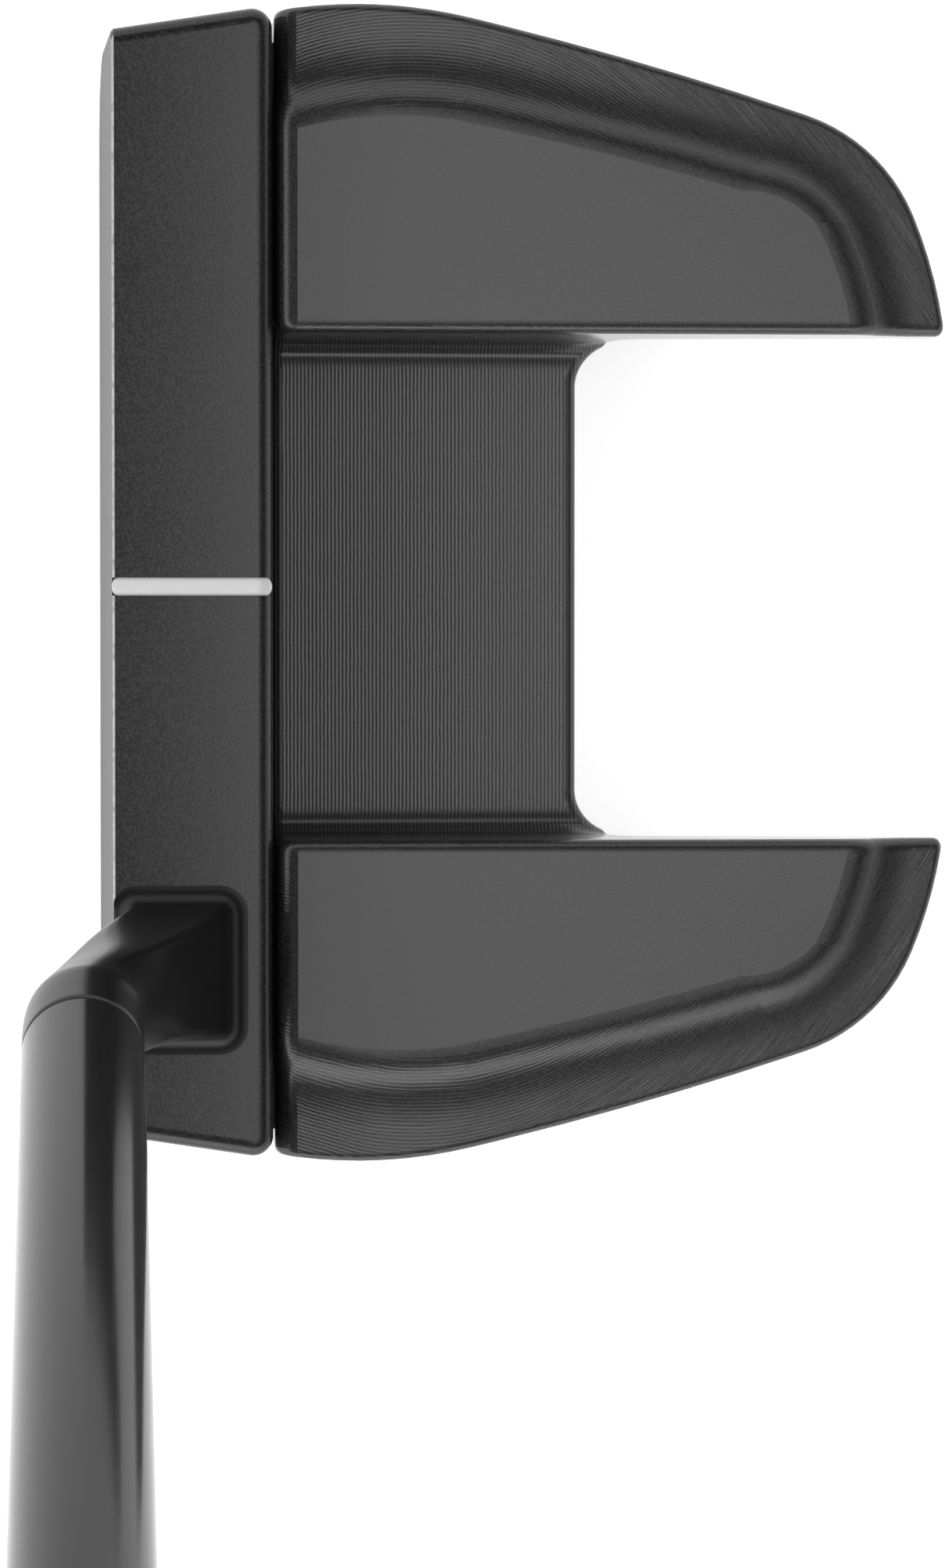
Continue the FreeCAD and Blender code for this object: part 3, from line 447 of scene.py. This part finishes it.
def grip_finish():
    """Black polyurethane strip wound round the grip: pebbled, with rows of small dimples along the strip."""
    look = Look("grip_skin", specular_ior_level=0.45)
    x, y, along = look.in_shaft_frame()
    turn = look.math("DIVIDE", look.math("ARCTAN2", y, x), 2 * math.pi)
    across = look.math("SUBTRACT", look.math("DIVIDE", along, STRIP_PITCH), turn)
    share = look.math("FRACT", look.math("ADD", across, 10.0))
    rows = look.math("COSINE", look.math("MULTIPLY", share, 2 * math.pi * DIMPLE_ROWS))
    spots = look.math("COSINE", look.math("MULTIPLY", turn, 2 * math.pi * DIMPLES_ROUND))
    inside = look.between(share, 0.12, 0.88, 0.03)
    dimple = look.product(look.ramp(look.math("ADD", rows, spots), 1.25, 1.75), inside)
    pebbles = look.add("TexVoronoi", {"Vector": look.place, "Scale": 1 / (0.8 * MM)}).outputs["Distance"]
    # painted shade: the colour is darker in the recessed dimples, over a random cloudy tone of the rubber
    tone_and_dimple_shade = look.math("MULTIPLY_ADD", look.noise(6 * MM, 3.0), 0.7, look.math("MULTIPLY", dimple, -0.5))
    look.colour(tone_and_dimple_shade, grey(0.010), grey(0.026))
    look.roughness(pebbles, 0.42, 0.62)
    look.bump(pebbles, 0.05 * MM)
    look.bump(dimple, -0.3 * MM)
    return look.material


def grip_trim_finish():
    """Smooth moulded rubber of the collar and cap, faintly scuffed."""
    look = Look("grip_trim", specular_ior_level=0.45)
    scuff = look.noise(1.5 * MM, 4.0)
    look.colour(scuff, grey(0.010), grey(0.022))
    look.roughness(scuff, 0.34, 0.52)
    look.bump(look.noise(0.3 * MM, 2.0), 0.02 * MM)
    return look.material


FINISHES = {
    "bar_black": bar_finish(),
    "flange_black": flange_finish(),
    "neck_black": neck_finish(),
    "shaft_black": shaft_finish(),
    "line_paint": line_finish(),
    "gasket_rubber": rubber_finish("gasket_rubber", 0.012, 0.3 * MM),
    "ring_rubber": rubber_finish("ring_rubber", 0.014, 0.2 * MM),
    "grip_foam": rubber_finish("grip_foam", 0.02, 0.5 * MM),
    "screw_steel": steel_finish("screw_steel", 0.14, 0.35),
    "pin_steel": steel_finish("pin_steel", 0.5, 0.22, (1, 1, 12)),
    "plate_aluminium": plate_finish(),
    "weight_steel": weight_finish(),
    "epoxy": epoxy_finish(),
    "tape": tape_finish(),
    "grip_skin": grip_finish(),
    "grip_trim": grip_trim_finish(),
}

for subpart in frame["record"]["subparts"]:
    node = frame["nodes"][subpart["node"]]
    for index in range(len(node.material_slots)):
        node.material_slots[index].material = FINISHES[subpart["material_slot"]]


# ---------------------------------------------------------------- neck
SCREW_RADIUS = 3.5 * MM
# the foot stands on the axis of the neck's screw
FOOT_CENTRE = Vector((screw_high.x - SCREW_RADIUS, (screw_low.y + screw_high.y) / 2, bar_high.z))
FOOT_HALF = (4.2 * MM, 5.55 * MM)
FOOT_CORNER = 0.75 * MM
FOOT_FILLET = 1.65 * MM
FILLET_STEPS = 9
# from the bar's back to the front edge of its topline
TOPLINE_DEPTH = 13.55 * MM
# the limb leaves the foot and reaches the collar with these slopes in X, over its whole length
FOOT_SLOPE, COLLAR_SLOPE = -8 * MM, -9 * MM
# by the collar the block has lost this much of its half width and gained this much corner
LIMB_NARROWING, LIMB_CORNER = 1.15 * MM, 0.3 * MM
# halfway up, the heel side is drawn in by twice this, and the toe side stays
HEEL_TUCK = 0.5 * MM
# the higher this power, the longer the limb keeps the block's corners
LIMB_ROUNDING = 2.4
COLLAR_LENGTH = 6 * MM
LIMB_STEPS, COLLAR_STEPS, SMOOTHINGS = 40, 8, 14
EDGE_BREAK = 0.12 * MM
TENON_RADIUS, TENON_BORE = 3.6 * MM, 2.02 * MM
TENON_LENGTH, BORE_DEPTH = 12 * MM, 7.5 * MM
POST_RADIUS, POST_LENGTH, POST_CHAMFER = 3.8 * MM, 26 * MM, 0.5 * MM
# degrees round the collar at which the foot's sides and corners start, from the back's heel end
COLLAR_TURNS = (-40, 62, 74, 128, 140, 220, 230, 308, 320)
SIDE_STEPS, CORNER_STEPS = 12, 8


def rounded_outline(half_x, half_y, corner):
    """Points round a rectangle with rounded corners, anticlockwise from its back's heel end."""
    points = []
    for quarter, (sx, sy) in enumerate(((1, 1), (-1, 1), (-1, -1), (1, -1))):
        pivot = Vector((sx * (half_x - corner), sy * (half_y - corner)))
        before = Vector((half_x, -half_y + corner)) if quarter == 0 else points[-1]
        first = pivot + corner * Vector((math.cos(quarter * math.pi / 2), math.sin(quarter * math.pi / 2)))
        start = 0 if quarter == 0 else 1
        points += [before.lerp(first, i / SIDE_STEPS) for i in range(start, SIDE_STEPS + 1)]
        for i in range(1, CORNER_STEPS + 1):
            angle = (quarter + i / CORNER_STEPS) * math.pi / 2
            points.append(pivot + corner * Vector((math.cos(angle), math.sin(angle))))
    # the last corner ends where the first side starts
    return points[:-1]


def round_outline(radius):
    """As many points round a circle, each where the outline's sides and corners turn into it."""
    angles = [math.radians(COLLAR_TURNS[0])]
    for i in range(len(COLLAR_TURNS) - 1):
        steps = CORNER_STEPS if i % 2 else SIDE_STEPS
        low, high = COLLAR_TURNS[i], COLLAR_TURNS[i + 1]
        angles += [math.radians(low + (high - low) * k / steps) for k in range(1, steps + 1)]
    return [Vector((radius * math.cos(a), radius * math.sin(a))) for a in angles[:-1]]


def placed(outline, centre, turn=0.0):
    """An outline put about a centre in space, tipped about X."""
    tip = Matrix.Translation(centre) @ Matrix.Rotation(turn, 4, "X")
    return [tip @ Vector((p.x, p.y, 0)) for p in outline]


def hermite(a, b, slope_a, slope_b, t):
    """A cubic from a to b while t goes from 0 to 1, with a slope at each end."""
    t2, t3 = t * t, t * t * t
    return (a * (2 * t3 - 3 * t2 + 1) + slope_a * (t3 - 2 * t2 + t)
            + b * (3 * t2 - 2 * t3) + slope_b * (t3 - t2))


def limb_stations():
    """Centres of the limb and the collar, each with its share of the way up the limb."""
    start = FOOT_CENTRE + Vector((0, 0, FOOT_FILLET))
    end = JOINT - UP_SHAFT * COLLAR_LENGTH
    stations = []
    for i in range(LIMB_STEPS + 1):
        h = i / LIMB_STEPS
        centre = start.lerp(end, h)
        centre.x = hermite(start.x, end.x, FOOT_SLOPE, COLLAR_SLOPE, h)
        stations.append((centre, h))
    top = JOINT - UP_SHAFT * EDGE_BREAK
    stations += [(end.lerp(top, k / COLLAR_STEPS), 1.0) for k in range(1, COLLAR_STEPS + 1)]
    for _ in range(SMOOTHINGS):
        xs = [centre.x for centre, _ in stations]
        for i in range(3, len(stations) - 1):
            stations[i][0].x = (xs[i - 1] + 2 * xs[i] + xs[i + 1]) / 4
    return stations


def neck_limb():
    """Rings from the top of the foot's fillet to the joint, turning from a block into the round collar."""
    rings = []
    for centre, h in limb_stations():
        roundness = smooth_step(h) ** LIMB_ROUNDING
        tuck = HEEL_TUCK * math.sin(math.pi * h)
        half_y = FOOT_HALF[1] - LIMB_NARROWING * h - tuck
        block = rounded_outline(FOOT_HALF[0], half_y, FOOT_CORNER + LIMB_CORNER * h)
        mixed = [a.lerp(b, roundness) for a, b in zip(block, round_outline(TIP_RADIUS))]
        rings.append(placed(mixed, centre + Vector((0, tuck, 0)), LEAN * smooth_step(h)))
    return rings


def neck_foot():
    """Rings of the fillet from the bar's top into the limb, cut off at the bar's front edge."""
    front = bar_high.x - TOPLINE_DEPTH
    rings = []
    for i in range(FILLET_STEPS):
        angle = i / FILLET_STEPS * math.pi / 2
        spread = FOOT_FILLET * (1 - math.sin(angle))
        centre = FOOT_CENTRE + Vector((0, 0, FOOT_FILLET * (1 - math.cos(angle))))
        outline = rounded_outline(FOOT_HALF[0] + spread, FOOT_HALF[1] + spread, FOOT_CORNER + spread)
        ring = placed(outline, centre)
        for point in ring:
            point.x = max(point.x, front)
        rings.append(ring)
    return rings


def neck_tenon():
    """Rings of the tenon inside the bar, from the top of its tapped hole out to the seat."""
    profile = ((TENON_BORE, BORE_DEPTH - TENON_LENGTH), (TENON_BORE, -TENON_LENGTH),
               (TENON_RADIUS, -TENON_LENGTH), (TENON_RADIUS, 0))
    return [placed(round_outline(radius), FOOT_CENTRE + Vector((0, 0, height))) for radius, height in profile]


def neck_post():
    """Rings of the shoulder and the post that the shaft slides over."""
    profile = ((TIP_RADIUS - EDGE_BREAK, 0), (POST_RADIUS, 0),
               (POST_RADIUS, POST_LENGTH - POST_CHAMFER), (POST_RADIUS - POST_CHAMFER, POST_LENGTH))
    return [placed(round_outline(radius), JOINT + UP_SHAFT * height, LEAN) for radius, height in profile]


neck_parts = neck_tenon() + neck_foot() + neck_limb() + neck_post()
neck = new_piece("neck_body", *skin_rings(neck_parts), FINISHES["neck_black"], 50)
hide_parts("neck")

# ---------------------------------------------------------------- shaft
SHAFT_SEGMENTS = 96
SHAFT_WALL = 0.6 * MM
STRAIGHT_LENGTH, TAPER_END = 170 * MM, 490 * MM


def shaft_rings():
    """A closed loop of rings: up the outside, over the butt and down the bore."""
    outside = [(TIP_RADIUS - EDGE_BREAK, 0), (TIP_RADIUS, EDGE_BREAK), (TIP_RADIUS, STRAIGHT_LENGTH / 2),
               (TIP_RADIUS, STRAIGHT_LENGTH), (BUTT_RADIUS, TAPER_END), (BUTT_RADIUS, TUBE_LENGTH)]
    inside = [(BUTT_RADIUS - SHAFT_WALL, TUBE_LENGTH), (BUTT_RADIUS - SHAFT_WALL, TAPER_END),
              (TIP_RADIUS - SHAFT_WALL, STRAIGHT_LENGTH), (TIP_RADIUS - SHAFT_WALL, 0)]
    return [circle(radius, height, SHAFT_SEGMENTS) for radius, height in outside + inside]


shaft = new_piece("shaft_tube", *skin_rings(shaft_rings(), looped=True), FINISHES["shaft_black"], 35)
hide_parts("shaft")

# ---------------------------------------------------------------- sight line
LINE_HALF = 0.77 * MM
# the paint's sides lie this far under the topline, and its middle rises by the dome
LINE_SINK, LINE_DOME = 0.05 * MM, 0.07 * MM
LINE_END = 0.55 * MM
# the paint starts ahead of its CAD box and stops short of the bar's back by these
LINE_LEAD, LINE_STOP = 0.15 * MM, 0.08 * MM
# the least thickness of the paint
LINE_LEAST = 0.02 * MM
BACK_ROUND = 1.4 * MM
LINE_STEPS, LINE_ACROSS = 72, 13


def line_level(x):
    """The bar's top at a place along the sight line, falling over its rounded back edge."""
    over = max(x - (bar_high.x - BACK_ROUND), 0.0)
    over = min(over, BACK_ROUND * 0.98)
    return bar_high.z - BACK_ROUND + math.sqrt(BACK_ROUND**2 - over**2)


def sight_line():
    """A strip of paint with a domed top and rounded ends, filling the groove across the bar's top."""
    start = line_low.x - LINE_LEAD
    end = bar_high.x - LINE_STOP
    floor = line_low.z
    rings = []
    for i in range(LINE_STEPS + 1):
        u = (1 - math.cos(math.pi * i / LINE_STEPS)) / 2
        x = start + (end - start) * u
        inset = min(x - start, end - x) / LINE_END
        narrowing = math.sqrt(max(1 - (1 - min(inset, 1.0)) ** 2, 0.02))
        half = LINE_HALF * narrowing
        ring = []
        for k in range(LINE_ACROSS):
            v = 2 * k / (LINE_ACROSS - 1) - 1
            top = line_level(x) - LINE_SINK + LINE_DOME * (1 - v * v) * narrowing
            ring.append(Vector((x, half * v, max(top, floor + LINE_LEAST))))
        ring += [Vector((x, half, floor)), Vector((x, -half, floor))]
        rings.append(ring)
    return skin_rings(rings)


line = new_piece("sight_line_paint", *sight_line(), FINISHES["line_paint"], 60)
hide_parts("sight_line")

# ---------------------------------------------------------------- grip skin
# the skin's middle drops away from its flat front as it gets deeper: by this, once twice its mouth's depth
GRIP_DROP = 2.5 * MM
GRIP_MOUTH = 19.6 * MM
GRIP_LENGTH = 267 * MM
WRAP_THICK = 1.1 * MM
SEAM_WIDTH, SEAM_DEPTH = 0.9 * MM, 0.45 * MM
CAP_THICK, COLLAR_HEIGHT = 4 * MM, 7 * MM
# the cap's underside lies this far above the shaft's butt
BUTT_CLEARANCE = 2 * MM
GRIP_SEGMENTS, GRIP_RINGS, INSIDE_STRIDE = 120, 300, 20
# share of the grip's length, width across the thumbs, depth front to back, flatness of the front
GRIP_STATIONS = ((0.0, 19.6, 19.6, 0.0), (0.2, 23.0, 21.6, 1.6), (0.5, 27.0, 24.5, 2.4),
                 (0.8, 30.0, 29.0, 2.4), (0.93, 30.5, 31.0, 2.2), (1.0, 29.5, 31.0, 2.0))
grip_top = TUBE_LENGTH + BUTT_CLEARANCE + CAP_THICK
grip_foot = grip_top - GRIP_LENGTH


def grip_sizes(height):
    """Width, depth and flatness of the grip at a height along the shaft, between its stations."""
    share = (height - grip_foot) / GRIP_LENGTH
    after = next(k for k in range(1, len(GRIP_STATIONS)) if share <= GRIP_STATIONS[k][0] + 1e-9)
    a, b = GRIP_STATIONS[after - 1], GRIP_STATIONS[after]
    t = (share - a[0]) / (b[0] - a[0])
    width, depth, flat = (a[k] + (b[k] - a[k]) * t for k in (1, 2, 3))
    return width * MM, depth * MM, flat


def grip_ring(height, shrink, grooved):
    """A ring of the skin: a flat front, a round back and the strip's seam let into it."""
    width, depth, flat = grip_sizes(height)
    ring = []
    for i in range(GRIP_SEGMENTS):
        angle = 2 * math.pi * i / GRIP_SEGMENTS
        c, s = math.cos(angle), math.sin(angle)
        power = 2 / (2 + flat * max(s, 0.0))
        inset = shrink
        if grooved:
            phase = (height / STRIP_PITCH - math.atan2(s, c) / (2 * math.pi)) % 1.0
            distance = min(phase, 1 - phase) * STRIP_PITCH
            inset += SEAM_DEPTH * math.exp(-(distance / SEAM_WIDTH) ** 2)
        x = math.copysign(abs(c) ** power, c) * (width / 2 - inset)
        y = math.copysign(abs(s) ** power, s) * (depth / 2 - inset)
        drop = GRIP_DROP * (depth - GRIP_MOUTH) / GRIP_MOUTH
        ring.append(ALONG_SHAFT @ Vector((x, y - drop, height)))
    return ring


def grip_skin():
    """A closed loop of rings: up the grooved outside and down the plain inside."""
    low, high = grip_foot + COLLAR_HEIGHT, grip_top - CAP_THICK
    heights = [low + (high - low) * i / GRIP_RINGS for i in range(GRIP_RINGS + 1)]
    outside = [grip_ring(height, 0.0, True) for height in heights]
    inside = [grip_ring(height, WRAP_THICK, False) for height in heights[::-INSIDE_STRIDE]]
    return skin_rings(outside + inside, looped=True)


skin = new_piece("grip_skin", *grip_skin(), FINISHES["grip_skin"], 50)
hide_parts("grip_wrap")


# ---------------------------------------------------------------- floor, light and camera
FLOOR_HALF = 6.0

# strengths of the lights, and below them ranges in the parts of the unit vector towards the light
OVERHEAD_LIGHT, SIDE_LIGHT, RING_LIGHT = 4.35, 3.4, 0.15
# the overhead light grows from nothing at the first Z, and its edge towards the face is at X near 0
OVERHEAD_RANGE, OVERHEAD_EDGE = (0.79, 1.0), (0.0, 0.048)
# it weakens from the first share to the second with X, and behind the flare also away from its middle in Y
OVERHEAD_MIDDLE, OVERHEAD_FLARE, FLARE_SHARE = 0.012, (0.03, 0.06), 0.8
OVERHEAD_FADE = (0.06, 0.36, 1.0, 0.45)
# the side light fades out between these Z, higher ahead of the face, and is weaker behind and to the toe
SIDE_RANGE, SIDE_TILT, BACK_SHARE = (0.45, 0.65), 0.2, 0.45
MIDDLE_SHARE, TOE_CHANGE = 0.72, -0.28

LENS = 117.2
CAMERA_PLACE = Vector((-21.69, -4.39, 458.4)) * MM
CAMERA_TURN = (math.radians(-1.633), math.radians(-4.277), math.radians(-0.005))


def floor_finish():
    """Pale seamless paper, lit evenly from below so that the shadows stay faint."""
    look = Look("floor", specular_ior_level=0.2, emission_color=grey(1.0), emission_strength=0.58)
    cloud = look.noise(0.4, 2.0)
    look.colour(cloud, grey(0.93), grey(0.95))
    look.roughness(cloud, 0.8, 0.9)
    return look.material


def add_floor():
    """A flat floor under the sole."""
    mesh = bpy.data.meshes.new("floor")
    corners = [(x * FLOOR_HALF, y * FLOOR_HALF, 0) for x, y in ((-1, -1), (1, -1), (1, 1), (-1, 1))]
    mesh.from_pydata(corners, [], [(0, 1, 2, 3)])
    mesh.materials.append(floor_finish())
    floor = bpy.data.objects.new("floor", mesh)
    floor.location.z = cad_low.z
    bpy.context.scene.collection.objects.link(floor)


def add_world():
    """A photographer's tent: a soft light overhead, pale sides all round and a dark ring between them."""
    world = bpy.data.worlds.new("studio")
    world.use_nodes = True
    nodes = Nodes(world.node_tree)
    x, y, z = nodes.axes(nodes.add("TexCoord").outputs["Generated"])

    aside = nodes.math("ABSOLUTE", nodes.math("SUBTRACT", y, OVERHEAD_MIDDLE))
    flare = nodes.math("MULTIPLY", nodes.ramp(x, *OVERHEAD_FLARE), FLARE_SHARE)
    spread = nodes.math("MULTIPLY_ADD", aside, flare, x)
    shape = nodes.product(nodes.ramp(x, *OVERHEAD_EDGE), nodes.ramp(spread, *OVERHEAD_FADE))
    overhead = nodes.product(nodes.ramp(z, *OVERHEAD_RANGE, 0.0, OVERHEAD_LIGHT), shape)

    height = nodes.math("MULTIPLY_ADD", x, SIDE_TILT, z)
    towards_toe = nodes.math("MULTIPLY_ADD", y, TOE_CHANGE, MIDDLE_SHARE)
    around = nodes.product(nodes.ramp(x, 0.0, 1.0, 1.0, BACK_SHARE), towards_toe)
    side = nodes.product(nodes.ramp(height, *SIDE_RANGE, SIDE_LIGHT, 0.0), around)

    background = nodes.tree.nodes["Background"]
    nodes.feed(background.inputs["Color"], grey(1.0))
    strength = nodes.math("ADD", nodes.math("ADD", overhead, side), RING_LIGHT)
    nodes.feed(background.inputs["Strength"], strength)
    bpy.context.scene.world = world


def add_camera():
    """The camera looks down on the head from above the neck, as a player would."""
    lens = bpy.data.cameras.new("camera")
    lens.sensor_width = 36
    lens.lens = LENS
    lens.clip_start, lens.clip_end = 0.02, 50
    camera = bpy.data.objects.new("camera", lens)
    camera.location = CAMERA_PLACE
    camera.rotation_euler = CAMERA_TURN
    bpy.context.scene.collection.objects.link(camera)
    bpy.context.scene.camera = camera


add_floor()
add_world()
add_camera()
bpy.context.scene.view_settings.view_transform = "Standard"
